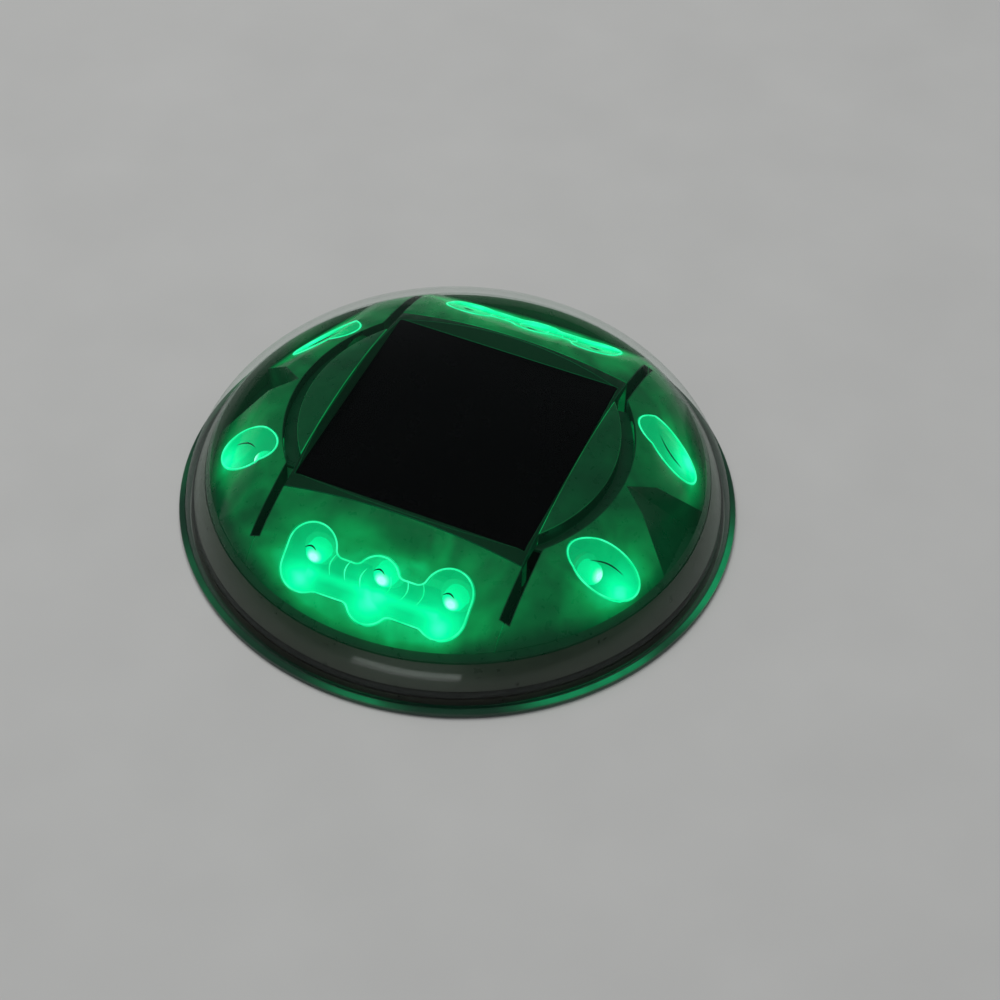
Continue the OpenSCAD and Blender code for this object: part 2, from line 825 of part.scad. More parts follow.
module button_seal() {
    color("black") translate([button_x, button_y, 0])
        pipe(button_flange_d/2 - 0.1, button_d/2 + 0.2, floor_t, button_flange_z - 0.12);
}

clear_cover();
base_tray();
rim_seal();
light_ring();
front_bay();
rear_bay();
right_side_body();
left_side_body();
top_deck();
panel_bezel();
panel_glass();
solar_cells();
cell_ribbons();
panel_backing();
front_lens();
rear_lens();
lens_right_front();
lens_right_rear();
lens_left_front();
lens_left_rear();
led_front_left();
led_front_centre();
led_front_right();
led_rear_left();
led_rear_centre();
led_rear_right();
led_right_front();
led_right_rear();
led_left_front();
led_left_rear();
front_led_holder();
rear_led_holder();
right_led_holders();
left_led_holders();
front_led_board();
rear_led_board();
right_led_boards();
left_led_boards();
main_board();
controller_chip();
power_inductor();
storage_capacitor();
charge_diode();
board_resistors();
wire_connector();
board_screws();
battery_cell();
battery_holder();
battery_tabs();
panel_leads();
battery_leads();
led_leads();
deck_screws();
push_switch();
switch_plunger();
power_button();
button_seal();
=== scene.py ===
import json
import math

import bmesh
import bpy
from mathutils import Matrix, Vector


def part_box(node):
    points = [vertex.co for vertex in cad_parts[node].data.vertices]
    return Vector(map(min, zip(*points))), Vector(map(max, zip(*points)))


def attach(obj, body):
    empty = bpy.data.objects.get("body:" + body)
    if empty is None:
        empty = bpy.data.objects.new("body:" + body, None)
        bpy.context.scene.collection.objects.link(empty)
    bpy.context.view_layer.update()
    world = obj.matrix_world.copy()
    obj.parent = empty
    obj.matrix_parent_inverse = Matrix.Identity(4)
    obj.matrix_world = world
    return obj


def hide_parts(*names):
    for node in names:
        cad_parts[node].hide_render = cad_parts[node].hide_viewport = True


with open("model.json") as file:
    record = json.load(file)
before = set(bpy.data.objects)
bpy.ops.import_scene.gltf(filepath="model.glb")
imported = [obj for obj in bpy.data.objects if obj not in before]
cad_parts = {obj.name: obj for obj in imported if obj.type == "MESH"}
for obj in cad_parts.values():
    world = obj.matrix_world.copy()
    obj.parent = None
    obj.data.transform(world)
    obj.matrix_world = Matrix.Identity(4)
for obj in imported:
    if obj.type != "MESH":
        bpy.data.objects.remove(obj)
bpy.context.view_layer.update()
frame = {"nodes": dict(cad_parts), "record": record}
nodes = frame["nodes"]
MM = 0.001

# ---- camera ----

CAMERA_PLACE = Vector((133.4, -310.4, 363.6))*MM
CAMERA_AZIMUTH = math.radians(21.72)
CAMERA_ELEVATION = math.radians(47.13)
CAMERA_ROLL = math.radians(2.24)
CAMERA_LENS = 82.44


def make_camera():
    camera = bpy.data.objects.new("camera", bpy.data.cameras.new("camera"))
    bpy.context.scene.collection.objects.link(camera)
    camera.data.lens = CAMERA_LENS
    camera.data.sensor_width = 36
    camera.data.clip_start = 0.01
    camera.matrix_world = (
        Matrix.Translation(CAMERA_PLACE)
        @ Matrix.Rotation(CAMERA_AZIMUTH, 4, "Z")
        @ Matrix.Rotation(math.pi/2 - CAMERA_ELEVATION, 4, "X")
        @ Matrix.Rotation(CAMERA_ROLL, 4, "Z")
    )
    bpy.context.scene.camera = camera


# ---- lamps of the marker, as the frame places them ----

# Turn of the pods and rise of the lamps, as in part.scad, and millimetres from the middle of a lamp to its tip
POD_TURN = math.radians(21)
LAMP_RISE = math.radians(20)
LAMP_TIP = 5.3
# Outwards and upwards from the tip of a lamp to where its light pools in the lens and spills on the housing
POOL_OFFSET = (5.5, -1.2)
SPILL_OFFSET = (3.0, -0.6)
LAMPS = sorted(
    name for name in nodes if name.startswith("led_") and not name.endswith(("board", "boards", "leads"))
)


def middle(node):
    """Middle of a CAD node's box."""
    low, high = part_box(node)
    return (low + high)/2


def level_direction(node):
    """Level direction in which a lamp shines: straight out of its bay, or out of its pod."""
    centre = middle(node)
    if node.startswith(("led_front", "led_rear")):
        return Vector((0, math.copysign(1, centre.y), 0))
    return Vector((
        math.copysign(math.cos(POD_TURN), centre.x), math.copysign(math.sin(POD_TURN), centre.y), 0
    ))


def lamp_axis(node):
    """Direction in which a lamp points, which rises a little."""
    return level_direction(node)*math.cos(LAMP_RISE) + Vector((0, 0, math.sin(LAMP_RISE)))


def lamp_point(node, along):
    """A point on the axis of a lamp, so many millimetres in front of the middle of the lamp."""
    return middle(node) + lamp_axis(node)*along*MM


def beside_tip(node, outwards, upwards):
    """A point beside the tip of a lamp, so many millimetres outwards and upwards of it."""
    return lamp_point(node, LAMP_TIP) + (level_direction(node)*outwards + Vector((0, 0, upwards)))*MM


# ---- node helpers ----

class Shader:
    """A node material that starts from one Principled shader. Places and distances are in millimetres."""

    def __init__(self, name):
        self.material = bpy.data.materials.new(name)
        self.material.use_nodes = True
        self.tree = self.material.node_tree
        self.principled = self.tree.nodes["Principled BSDF"]
        self.output = self.tree.nodes["Material Output"]
        scale = self.node("ShaderNodeVectorMath", operation="SCALE")
        scale.inputs["Scale"].default_value = 1/MM
        self.link(self.node("ShaderNodeTexCoord").outputs["Object"], scale.inputs[0])
        self.place = scale.outputs[0]

    def node(self, kind, **values):
        made = self.tree.nodes.new(kind)
        for key, value in values.items():
            setattr(made, key, value)
        return made

    def link(self, source, target):
        self.tree.links.new(source, target)

    def base(self, colour):
        self.principled.inputs["Base Color"].default_value = (*colour, 1)

    def set(self, **values):
        for key, value in values.items():
            self.principled.inputs[key.replace("_", " ")].default_value = value

    def math(self, operation, *values):
        made = self.node("ShaderNodeMath", operation=operation)
        for socket, value in zip(made.inputs, values):
            if isinstance(value, (int, float)):
                socket.default_value = value
            else:
                self.link(value, socket)
        return made.outputs[0]

    def times(self, *values):
        total = values[0]
        for value in values[1:]:
            total = self.math("MULTIPLY", total, value)
        return total

    def axes(self):
        """Distances from the middle planes and from the upright axis: |x|, |y|, z and the radius."""
        split = self.node("ShaderNodeSeparateXYZ")
        self.link(self.place, split.inputs[0])
        x = self.math("ABSOLUTE", split.outputs["X"])
        y = self.math("ABSOLUTE", split.outputs["Y"])
        radius = self.math("SQRT", self.math("ADD", self.times(x, x), self.times(y, y)))
        return x, y, split.outputs["Z"], radius

    def noise(self, size, detail=3.0, distortion=0.0):
        """Soft noise from 0 to 1 whose lumps are about so many millimetres across."""
        made = self.node("ShaderNodeTexNoise")
        made.inputs["Scale"].default_value = 1/size
        made.inputs["Detail"].default_value = detail
        made.inputs["Distortion"].default_value = distortion
        self.link(self.place, made.inputs["Vector"])
        return made.outputs["Fac"]

    def remap(self, value, low, high, to_low, to_high):
        made = self.node("ShaderNodeMapRange", clamp=True)
        for socket, number in zip(made.inputs[1:5], (low, high, to_low, to_high)):
            socket.default_value = number
        self.link(value, made.inputs[0])
        return made.outputs[0]

    def ramp(self, value, stops):
        made = self.node("ShaderNodeValToRGB")
        made.color_ramp.elements.remove(made.color_ramp.elements[0])
        made.color_ramp.elements[0].position = stops[0][0]
        made.color_ramp.elements[0].color = (*stops[0][1], 1)
        for position, colour in stops[1:]:
            made.color_ramp.elements.new(position).color = (*colour, 1)
        self.link(value, made.inputs[0])
        return made.outputs[0]

    def bump(self, height, strength, distance):
        made = self.node("ShaderNodeBump")
        made.inputs["Strength"].default_value = strength
        made.inputs["Distance"].default_value = distance*MM
        self.link(height, made.inputs["Height"])
        self.link(made.outputs[0], self.principled.inputs["Normal"])

    def nearness(self, points, reach):
        """Sum over the points of 1/(1 + (distance/reach)^2): bright beside a lamp and soft further off."""
        total = None
        for point in points:
            away = self.node("ShaderNodeVectorMath", operation="DISTANCE")
            away.inputs[1].default_value = point/MM
            self.link(self.place, away.inputs[0])
            share = self.math("DIVIDE", away.outputs["Value"], reach)
            share = self.math("DIVIDE", 1.0, self.math("ADD", self.times(share, share), 1.0))
            total = share if total is None else self.math("ADD", total, share)
        return total

    def glow(self, colour, strength=1.0):
        self.link(colour, self.principled.inputs["Emission Color"])
        self.set(Emission_Strength=strength)


# ---- finishes ----

# Section of the clear cover, in millimetres, with the radii and heights of part.scad
COVER_WALL = 1.4
LIP_WIDTH = 0.6
LIP_Z = (0.2, 1.5)
LIP_ROUND = 0.4
GROOVE_TOP = 2.3
GROOVE_DEPTH = 0.6
CROWN_RADIUS = 115.4
JOIN_RADIUS = 44.54


def surface(name, base, roughness, grain=1.6, spread=0.15, bump=0.0, metallic=0.0, coat=0.0, specular=0.5):
    """A finish whose colour and roughness vary a little over the surface."""
    shader = Shader(name)
    mottled = shader.noise(grain, detail=4.0)
    low = tuple(channel*(1 - spread) for channel in base)
    high = tuple(min(1.0, channel*(1 + spread)) for channel in base)
    shader.link(shader.ramp(mottled, [(0.3, low), (0.7, high)]), shader.principled.inputs["Base Color"])
    shader.link(
        shader.remap(mottled, 0.3, 0.7, roughness*0.85, min(1.0, roughness*1.15)),
        shader.principled.inputs["Roughness"],
    )
    shader.set(Metallic=metallic, Coat_Weight=coat, Specular_IOR_Level=specular)
    if bump:
        shader.bump(shader.noise(grain/3, detail=2.0), bump, 0.1)
    return shader


# The slope of the bays, and the bar of light across the front and rear lenses: its height above the
# middle of the lens, up the slope, and its half length, in millimetres
BAY_SLOPE = math.radians(36)
BAND_HEIGHT = -1.6
BAND_HALF_LENGTH = 14.5
# Light of the housing by nearness to the lamps, from unlit to brightest
HOUSING_GLOW = [
    (0.0, (0.0, 0.005, 0.002)), (0.15, (0.0, 0.030, 0.009)), (0.32, (0.0, 0.095, 0.024)),
    (0.6, (0.0, 0.26, 0.062)), (1.0, (0.0, 0.62, 0.19)),
]
# The gaps of the housing, and the radii between which its light fades, in millimetres: typed here from
# part.scad, with the ends of the slots 0.2 further out
SLOT_MIDDLE = 27.7
SLOT_END = 40.2
SLOT_HALF = 1.0
CHANNEL = (34.0, 37.0)
NOTCH_APEX = 37.8
NOTCH_SPREAD = math.tan(math.radians(38))
LIT_RADIUS = (49.5, 54.0)


def lit_plastic(name, part, gain):
    """Translucent housing plastic with a painted glow of the lamps behind it and painted shade in the gaps
    between the pieces.
    """
    shader = Shader(name)
    x, y, _, radius = shader.axes()
    swirl = shader.noise(15.0, detail=1.5, distortion=1.4)
    fine = shader.noise(2.2, detail=3.0)
    # Painted glow of the lamps: brightest beside them, varied by soft swirls
    near = shader.nearness(SPILLS, 6.3)
    factors = [
        near, gain, shader.remap(swirl, 0.3, 0.7, 0.7, 1.35), shader.remap(fine, 0.3, 0.7, 0.97, 1.03),
    ]
    if part == "deck":
        # Painted shade along the deck's edge at the channel
        factors.append(shader.remap(radius, CHANNEL[0] - 0.25, CHANNEL[0] - 0.02, 1.0, 0.10))
    else:
        # Painted falloff of the glow towards the rim
        factors.append(shader.remap(radius, *LIT_RADIUS, 1.0, 0.10))
        # Painted shade in the slots, up to their ends
        away = shader.math("ABSOLUTE", shader.math("SUBTRACT", x, SLOT_MIDDLE))
        slot_shade = shader.remap(away, SLOT_HALF + 0.03, SLOT_HALF + 0.3, 0.02, 1.0)
        closed = shader.math("GREATER_THAN", y, SLOT_END)
        factors.append(shader.math("MAXIMUM", slot_shade, closed))
    if part == "side":
        # Painted shade along the channel and beside the notch
        factors.append(shader.remap(radius, CHANNEL[1] + 0.03, CHANNEL[1] + 0.25, 0.05, 1.0))
        wedge = shader.times(shader.math("SUBTRACT", x, NOTCH_APEX), NOTCH_SPREAD)
        factors.append(shader.remap(shader.math("SUBTRACT", y, wedge), 0.03, 0.2, 0.4, 1.0))
    shader.glow(shader.ramp(shader.times(*factors), HOUSING_GLOW))
    shader.link(
        shader.ramp(fine, [(0.3, (0.002, 0.026, 0.011)), (0.7, (0.004, 0.038, 0.016))]),
        shader.principled.inputs["Base Color"],
    )
    shader.link(shader.remap(fine, 0.3, 0.7, 0.25, 0.38), shader.principled.inputs["Roughness"])
    shader.set(Specular_IOR_Level=0.35)
    shader.bump(fine, 0.10, 0.2)
    return shader.material


def band(shader):
    """Brightness of the bar of light that runs across the front and rear lenses, through their links."""
    x, y, z, _ = shader.axes()
    centre = middle("front_lens")/MM
    drop = shader.times(shader.math("SUBTRACT", abs(centre.y), y), math.cos(BAY_SLOPE))
    rise = shader.times(shader.math("SUBTRACT", z, centre.z), math.sin(BAY_SLOPE))
    off = shader.math("ABSOLUTE", shader.math("SUBTRACT", shader.math("ADD", drop, rise), BAND_HEIGHT))
    inside = shader.math("LESS_THAN", x, BAND_HALF_LENGTH)
    return shader.times(shader.remap(off, 0.1, 1.5, 0.22, 0.0), inside)


def lens_plastic():
    """Clear lens in front of a lamp: its light pools in the lower part of each lobe."""
    shader = Shader("lit_lens")
    swirl = shader.noise(6.0, detail=1.5, distortion=1.0)
    pools = shader.math("ADD", shader.nearness(POOLS, 2.7), band(shader))
    glow = shader.times(pools, shader.remap(swirl, 0.35, 0.65, 0.82, 1.18))
    shader.glow(shader.ramp(
        glow,
        [
            (0.0, (0.0, 0.20, 0.07)), (0.12, (0.0, 0.36, 0.12)), (0.35, (0.0, 0.72, 0.27)),
            (0.65, (0.0, 1.0, 0.38)), (1.0, (0.05, 1.0, 0.58)),
        ],
    ))
    shader.set(Roughness=0.12, Alpha=0.55, Specular_IOR_Level=0.3, Emission_Strength=1.4)
    shader.base((0.0, 0.18, 0.07))
    shader.bump(swirl, 0.25, 0.6)
    return shader.material


def lens_edge():
    """The rim and ridges of a lens, which gather its light into thin bright lines."""
    shader = Shader("lens_edge")
    varied = shader.noise(4.0, detail=2.0)
    shader.glow(shader.ramp(varied, [(0.3, (0.0, 0.72, 0.26)), (0.7, (0.05, 1.0, 0.5))]), 1.1)
    shader.set(Roughness=0.2)
    shader.base((0.0, 0.3, 0.1))
    return shader.material


def lamp_glass():
    """Clear lamp body with a white-hot tip."""
    shader = Shader("lamp_glass")
    hot = shader.nearness(TIPS, 0.9)
    stops = [(0.0, (0.0, 0.26, 0.10)), (0.2, (0.0, 0.55, 0.22)), (0.6, (0.5, 1.0, 0.9))]
    shader.glow(shader.ramp(hot, stops), 5.0)
    shader.set(Roughness=0.1)
    shader.base((0.1, 0.6, 0.35))
    return shader.material


def clear_plastic():
    """Polished clear cover: it mirrors more at grazing angles and lets the rest through."""
    shader = Shader("clear_cover")
    clear = shader.node("ShaderNodeBsdfTransparent")
    clear.inputs["Color"].default_value = (0.95, 0.985, 0.965, 1)
    shine = shader.node("ShaderNodeBsdfGlossy")
    shine.inputs["Roughness"].default_value = 0.04
    facing = shader.node("ShaderNodeLayerWeight").outputs["Facing"]
    mirror = shader.math("ADD", shader.times(shader.math("POWER", facing, 5.0), 0.45), 0.01)
    mix = shader.node("ShaderNodeMixShader")
    shader.link(mirror, mix.inputs[0])
    shader.link(clear.outputs[0], mix.inputs[1])
    shader.link(shine.outputs[0], mix.inputs[2])
    shader.link(mix.outputs[0], shader.output.inputs["Surface"])
    shader.tree.nodes.remove(shader.principled)
    return shader.material


def lip_plastic():
    """Foot lip of the cover with a painted glow of the light that runs round it, brighter here and there."""
    shader = Shader("cover_lip")
    bright = shader.noise(34.0, detail=1.5)
    fine = shader.noise(4.0, detail=2.0)
    height = shader.axes()[2]
    # Painted glow: patchy along the rim and fading towards the bottom of the lip
    run = shader.times(
        shader.remap(bright, 0.4, 0.66, 0.06, 1.0), shader.remap(fine, 0.3, 0.7, 0.85, 1.1),
        shader.remap(height, LIP_Z[1] - 0.6, LIP_Z[1] - 0.1, 0.1, 1.0),
    )
    stops = [(0.0, (0.0, 0.006, 0.003)), (0.4, (0.0, 0.06, 0.02)), (1.0, (0.0, 0.26, 0.09))]
    shader.glow(shader.ramp(run, stops))
    shader.set(Roughness=0.12, Alpha=0.85)
    shader.base((0.012, 0.03, 0.02))
    return shader.material


def skirt_plastic():
    """Dark tray plastic behind the skirt of the cover, with a little painted glow of the lamps' light near
    them.
    """
    shader = surface("dark_shell", (0.026, 0.024, 0.017), 0.32, grain=2.5, bump=0.12, coat=0.2)
    height = shader.axes()[2]
    # Painted glow near the lamps, fading towards the bottom
    spill = shader.times(shader.nearness(TIPS, 5.0), shader.remap(height, 2.5, 14.0, 0.0, 1.0))
    stops = [(0.0, (0.0, 0.0, 0.0)), (0.5, (0.0, 0.035, 0.012)), (1.0, (0.0, 0.10, 0.04))]
    shader.glow(shader.ramp(spill, stops))
    return shader.material


def bezel_plastic(name, gain):
    """Dark plastic frame of the panel, with a faint painted glow of the light below it."""
    shader = surface(name, (0.003, 0.008, 0.005), 0.45, bump=0.15, specular=0.2)
    # Painted glow near the lamps; the gain makes it stronger on the edge finish
    near = shader.nearness(TIPS, 9.0)
    stops = [(0.0, (0.0, 0.001, 0.0005)), (0.5, (0.0, 0.009, 0.003)), (1.0, (0.0, 0.03, 0.010))]
    shader.glow(shader.ramp(near, stops), gain)
    return shader.material


# Plain finishes: colour, roughness and what else differs from the usual
PLAIN = {
    "seal_rubber": ((0.012, 0.012, 0.012), 0.75, {"bump": 0.4}),
    "panel_glass": ((0.0004, 0.0005, 0.0006), 0.25, {"grain": 6.0, "spread": 0.3, "specular": 0.05}),
    "silicon": ((0.002, 0.003, 0.012), 0.3, {}),
    "tinned_strip": ((0.7, 0.71, 0.72), 0.35, {"metallic": 1.0}),
    "backing_board": ((0.02, 0.10, 0.05), 0.5, {}),
    "lens_shade": ((0.001, 0.05, 0.02), 0.3, {"grain": 1.0}),
    "white_plastic": ((0.75, 0.75, 0.72), 0.5, {"bump": 0.2}),
    "green_laminate": ((0.01, 0.13, 0.05), 0.3, {"coat": 0.4}),
    "black_package": ((0.015, 0.015, 0.016), 0.55, {"bump": 0.3}),
    "ferrite": ((0.06, 0.06, 0.065), 0.6, {"bump": 0.4}),
    "capacitor_sleeve": ((0.01, 0.015, 0.12), 0.35, {}),
    "ivory_plastic": ((0.75, 0.70, 0.55), 0.5, {"bump": 0.2}),
    "bright_steel": ((0.62, 0.62, 0.63), 0.3, {"metallic": 1.0}),
    "cell_wrap": ((0.03, 0.33, 0.08), 0.3, {"coat": 0.4}),
    "black_plastic": ((0.02, 0.02, 0.021), 0.5, {"bump": 0.3}),
    "lead_insulation": ((0.45, 0.03, 0.02), 0.5, {}),
    "button_plastic": ((0.03, 0.035, 0.032), 0.45, {"bump": 0.3}),
    "floor": ((0.60, 0.60, 0.585), 0.75, {"grain": 30.0, "spread": 0.02}),
}
# Lit housing finishes: the part they are for and the gain of their painted glow; the edge finishes paint the
# rounded edges brighter
LIT = {
    "light_guide": ("ring", 0.9), "bay_plastic": ("bay", 1.0), "bay_edge": ("bay", 2.2),
    "side_plastic": ("side", 1.0), "side_edge": ("side", 2.2), "deck_plastic": ("deck", 0.55),
    "deck_edge": ("deck", 2.2),
}


def build_materials():
    made = {name: surface(name, *row, **more).material for name, (*row, more) in PLAIN.items()}
    made.update({name: lit_plastic(name, *row) for name, row in LIT.items()})
    made.update({
        "clear_shell": clear_plastic(),
        "cover_lip": lip_plastic(),
        "dark_shell": skirt_plastic(),
        "bezel_plastic": bezel_plastic("bezel_plastic", 1.0),
        # The bezel's rounded edges get a much stronger painted glow
        "bezel_edge": bezel_plastic("bezel_edge", 9.0),
        "lit_lens": lens_plastic(),
        "lens_edge": lens_edge(),
        "lamp_body": lamp_glass(),
    })
    made["lit_housing"] = made["bay_plastic"]
    return made


TIPS = [lamp_point(name, LAMP_TIP) for name in LAMPS]
POOLS = [beside_tip(name, *POOL_OFFSET) for name in LAMPS]
SPILLS = [beside_tip(name, *SPILL_OFFSET) for name in LAMPS]
SLOTS = {entry["node"]: entry["material_slot"] for entry in frame["record"]["subparts"]}
MATERIALS = build_materials()


def paint(piece, *names):
    """Gives a piece its finishes; clearing would also undo the choice of finish of each face."""
    if piece.data.materials:
        piece.data.materials.clear()
    for name in names:
        piece.data.materials.append(MATERIALS[name])


# ---- pieces ----

def join_up(name, mesh, node, *materials, sharp=math.radians(32)):
    """Turns a bmesh into a smooth-shaded piece that stands for a CAD node, or is a detail of one."""
    data = bpy.data.meshes.new(name)
    mesh.to_mesh(data)
    mesh.free()
    for polygon in data.polygons:
        polygon.use_smooth = True
    data.set_sharp_from_angle(angle=sharp)
    piece = bpy.data.objects.new(name, data)
    bpy.context.scene.collection.objects.link(piece)
    paint(piece, *materials)
    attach(piece, "marker")
    return piece


def flat_faced(node):
    """The CAD node's shape with its flat faces whole again."""
    mesh = bmesh.new()
    mesh.from_mesh(nodes[node].data)
    bmesh.ops.remove_doubles(mesh, verts=mesh.verts, dist=0.002*MM)
    bmesh.ops.dissolve_limit(mesh, angle_limit=math.radians(0.6), verts=mesh.verts, edges=mesh.edges)
    mesh.normal_update()
    return mesh


def bevelled_copy(node, width, materials, segments=2, sharp=math.radians(24)):
    """A piece with a CAD node's shape and rounded edges; the rounded edges take the second material."""
    mesh = flat_faced(node)
    edges = [e for e in mesh.edges if len(e.link_faces) == 2 and e.calc_face_angle(0) > sharp]
    bmesh.ops.bevel(
        mesh, geom=edges, offset=width, segments=segments, profile=0.5, affect="EDGES",
        clamp_overlap=True, material=1 if len(materials) > 1 else -1,
    )
    bmesh.ops.triangulate(mesh, faces=[f for f in mesh.faces if len(f.verts) > 4])
    piece = join_up(node + "_skin", mesh, node, *materials)
    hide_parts(node)
    return piece


def lathe(name, node, profile, materials, material_of, segments=192):
    """A closed profile of (radius, height) points in millimetres, turned round the upright axis."""
    mesh = bmesh.new()
    rings = []
    for turn in range(segments):
        angle = 2*math.pi*turn/segments
        rings.append([
            mesh.verts.new((r*math.cos(angle)*MM, r*math.sin(angle)*MM, z*MM)) for r, z in profile
        ])
    count = len(profile)
    for turn in range(segments):
        here, there = rings[turn], rings[(turn + 1) % segments]
        for i in range(count):
            j = (i + 1) % count
            face = mesh.faces.new((here[i], there[i], there[j], here[j]))
            face.material_index = material_of(profile[i], profile[j])
    bmesh.ops.remove_doubles(mesh, verts=mesh.verts, dist=0.001*MM)
    bmesh.ops.recalc_face_normals(mesh, faces=mesh.faces)
    piece = join_up(name, mesh, node, *materials)
    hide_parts(node)
    return piece


# Any direction that no tube runs along
TUBE_SIDE = Vector((0.31, 0.52, 0.79))


def tube(mesh, points, radius, closed, sides=8, thickness=lambda share: 1.0):
    """Adds a round tube through the points to a bmesh; its thickness may vary along its length."""
    count = len(points)
    rings = []
    for i, point in enumerate(points):
        before = points[i - 1] if closed or i > 0 else point
        after = points[(i + 1) % count] if closed or i < count - 1 else point
        along = (after - before).normalized()
        side = along.cross(TUBE_SIDE).normalized()
        over = along.cross(side)
        thick = radius*thickness(i/max(1, count - 1))
        rings.append([
            mesh.verts.new(point + thick*(
                math.cos(2*math.pi*k/sides)*side + math.sin(2*math.pi*k/sides)*over
            ))
            for k in range(sides)
        ])
    for i in range(count if closed else count - 1):
        here, there = rings[i], rings[(i + 1) % count]
        for k in range(sides):
            mesh.faces.new((here[k], here[(k + 1) % sides], there[(k + 1) % sides], there[k]))
    if not closed:
        mesh.faces.new(rings[0][::-1])
        mesh.faces.new(rings[-1])


# ---- clear cover ----

# The lip is the part of the section outside this radius
LIP_INNER = 57.5


def arc(middle_point, radius, start, end, steps):
    """Points of an arc in the section of the cover."""
    return [
        (middle_point[0] + radius*math.cos(a), middle_point[1] + radius*math.sin(a))
        for a in (start + (end - start)*i/steps for i in range(steps + 1))
    ]


def cover_profile():
    """Half section of the cover: outer dome from the groove up, inner dome back down, then the foot lip."""
    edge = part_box("clear_cover")[1].x/MM
    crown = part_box("clear_cover")[1].z/MM
    skirt = edge - LIP_WIDTH
    join = math.asin(JOIN_RADIUS/CROWN_RADIUS)
    rim = (skirt - JOIN_RADIUS)/(1 - math.sin(join))
    rim_middle = (skirt - rim, crown - CROWN_RADIUS + (CROWN_RADIUS - rim)*math.cos(join))
    crown_middle = (0, crown - CROWN_RADIUS)
    up = math.pi/2

    def level(radius, z):
        return math.asin((z - rim_middle[1])/radius)

    inner = rim - COVER_WALL
    outside = arc(rim_middle, rim, level(rim, GROOVE_TOP), up - join, 28)
    outside += arc(crown_middle, CROWN_RADIUS, up - join, up, 36)[1:]
    inside = arc(crown_middle, CROWN_RADIUS - COVER_WALL, up, up - join, 24)
    inside += arc(rim_middle, inner, up - join, level(inner, LIP_Z[0]), 24)[1:]
    low = LIP_Z[0] + LIP_ROUND
    high = LIP_Z[1] - LIP_ROUND
    lip = arc((edge - LIP_ROUND, low), LIP_ROUND, -up, 0, 5)
    lip += arc((edge - LIP_ROUND, high), LIP_ROUND, 0, up, 5)
    groove = [(skirt - GROOVE_DEPTH, LIP_Z[1]), (skirt - GROOVE_DEPTH, GROOVE_TOP)]
    return outside + inside + lip + groove


def build_cover():
    def is_lip(first, second):
        low_enough = max(first[1], second[1]) < LIP_Z[1] + 0.01
        return int(low_enough and min(first[0], second[0]) > LIP_INNER)

    lathe("cover_shell", "clear_cover", cover_profile(), ("clear_shell", "cover_lip"), is_lip)


# ---- lenses ----

RIM_RADIUS = 0.19
RIM_SETBACK = 0.3
RIDGE_RADIUS = 0.15
# Ridges of the three-lobed lens: place along it, then heights of the foot and the head above its middle
RIDGES = [
    (-9.6, -1.5, 2.9), (-6.2, -1.5, 2.7), (-2.6, -2.0, 2.2),
    (2.6, -2.0, 2.2), (6.2, -1.5, 2.7), (9.6, -1.5, 2.9),
]
RIDGE_BOW = 0.7
RIDGE_STEPS = 10
# Dark crescents above the lamps: width, shift along it, height and bow
SHADE_BAY = (2.6, 0.0, 3.5, 0.7)
SHADE_POD = (8.6, 1.1, 0.7, 0.9)
SHADE_SLANT = math.radians(36)
SHADE_RADIUS = 0.2
SHADE_SINK = 0.06
# A lamp belongs to a lens when their middles are no further apart
LAMP_REACH = 26


def outer_face(node):
    """The edge loop round a lens's outer faces, and the frame of its flat: middle, across, up and out."""
    mesh = flat_faced(node)
    flat = max((f for f in mesh.faces if f.normal.z > 0.2), key=lambda f: f.calc_area())
    out = flat.normal.copy()
    centre = flat.calc_center_median()
    outer = {f for f in mesh.faces if f.normal.dot(out) > 0.6}
    follows = {}
    for face in (f for f in mesh.faces if f in outer):
        for loop in face.loops:
            if not any(other in outer for other in loop.edge.link_faces if other is not face):
                follows[loop.vert] = loop.link_loop_next.vert
    start = max(follows, key=lambda vert: vert.co.x)
    outline = [start.co.copy()]
    vert = follows[start]
    while vert is not start:
        outline.append(vert.co.copy())
        vert = follows[vert]
    mesh.free()
    across = Vector((0, 0, 1)).cross(out).normalized()
    return outline, centre, across, out.cross(across), out


def lamp_spot(lamp, centre, out):
    """Where the axis of a lamp leaves the flat of its lens."""
    axis = lamp_axis(lamp)
    return middle(lamp) + axis*((centre - middle(lamp)).dot(out)/axis.dot(out))


def taper(share):
    """Thickness along a crescent: full in the middle and fine at the ends."""
    return 0.25 + 0.75*math.sin(math.pi*share)


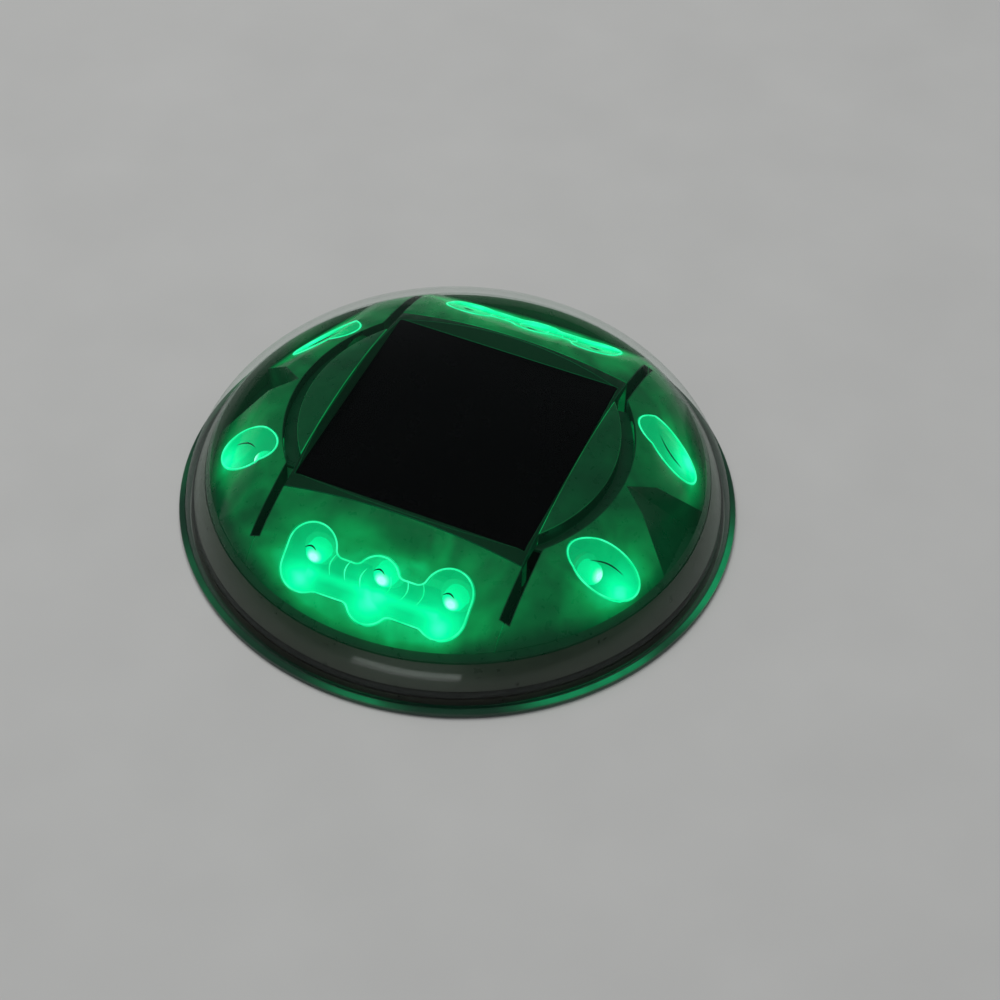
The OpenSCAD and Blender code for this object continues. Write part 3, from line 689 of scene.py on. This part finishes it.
def build_lens(node, ridged):
    """A lens with its bright rim and dark crescents; the three-lobed lenses also have ridges."""
    bevelled_copy(node, 0.3*MM, ("lit_lens",))
    outline, centre, across, up, out = outer_face(node)
    mesh = bmesh.new()
    rim = [point + (centre - point).normalized()*RIM_SETBACK*MM for point in outline]
    tube(mesh, rim, RIM_RADIUS*MM, closed=True)
    for place, foot, head in RIDGES if ridged else ():
        line = []
        for i in range(RIDGE_STEPS + 1):
            share = i/RIDGE_STEPS
            bow = RIDGE_BOW*math.sin(math.pi*share)*math.copysign(1, place)
            line.append(centre + (across*(place + bow) + up*(foot + (head - foot)*share))*MM)
        tube(mesh, line, RIDGE_RADIUS*MM, closed=False, thickness=taper)
    join_up(node + "_rim", mesh, node, "lens_edge")
    shades = bmesh.new()
    side = math.copysign(1, -centre.x*centre.y)
    slant = SHADE_SLANT*side if not ridged else math.pi/2
    along = up*math.cos(slant) - across*math.sin(slant)
    above = along.cross(out)*(1 if ridged else side)
    width, shift, rise, bow = SHADE_BAY if ridged else SHADE_POD
    for lamp in (name for name in LAMPS if (middle(name) - centre).length < LAMP_REACH*MM):
        spot = lamp_spot(lamp, centre, out) if ridged else centre
        line = []
        for i in range(RIDGE_STEPS + 1):
            share = i/RIDGE_STEPS
            height = rise + bow*math.sin(math.pi*share)
            line.append(spot + (along*(width*(share - 0.5) + shift) + above*height - out*SHADE_SINK)*MM)
        tube(shades, line, SHADE_RADIUS*MM, closed=False, thickness=taper)
    join_up(node + "_shades", shades, node, "lens_shade")


# ---- stage ----

def make_stage():
    """Pale floor, just under the marker so that the two faces don't coincide, and a faint sky."""
    bpy.ops.mesh.primitive_plane_add(size=6, location=(0, 0, -0.05*MM))
    floor = bpy.context.object
    floor.name = "floor"
    paint(floor, "floor")
    world = bpy.data.worlds.new("studio")
    bpy.context.scene.world = world
    world.use_nodes = True
    background = world.node_tree.nodes["Background"]
    background.inputs["Color"].default_value = (0.9, 0.94, 1.0, 1)
    background.inputs["Strength"].default_value = 0.12


def soft_light(name, place, size, power, mirrored=True):
    """A soft rectangular light aimed at the marker; one that isn't mirrored leaves no highlight."""
    light = bpy.data.objects.new(name, bpy.data.lights.new(name, "AREA"))
    light.data.shape = "RECTANGLE"
    light.data.size, light.data.size_y = size
    light.data.energy = power
    light.location = place
    light.rotation_euler = (-Vector(place)).to_track_quat("-Z", "Y").to_euler()
    light.visible_glossy = mirrored
    bpy.context.scene.collection.objects.link(light)


# Nodes with rounded edges: width in millimetres, finish, and finish of the edges
EDGES = {
    "front_bay": (0.35, "bay_plastic", "bay_edge"),
    "rear_bay": (0.35, "bay_plastic", "bay_edge"),
    "right_side_body": (0.45, "side_plastic", "side_edge"),
    "left_side_body": (0.45, "side_plastic", "side_edge"),
    "top_deck": (0.3, "deck_plastic", "deck_edge"),
    "panel_bezel": (0.2, "bezel_plastic", "bezel_edge"),
    "panel_glass": (0.15, "panel_glass"),
}

for node, piece in nodes.items():
    paint(piece, SLOTS[node])
build_cover()
for node, (width, *materials) in EDGES.items():
    bevelled_copy(node, width*MM, materials)
for node in nodes:
    if SLOTS[node] == "lit_lens":
        build_lens(node, node in ("front_lens", "rear_lens"))

make_stage()
soft_light("overhead", (-0.3, 0.2, 1.5), (1.2, 1.2), 17.0, mirrored=False)
soft_light("front_strip", (0.15, -1.4, 0.08), (1.0, 0.12), 1.1)
make_camera()
bpy.context.scene.view_settings.view_transform = "Standard"
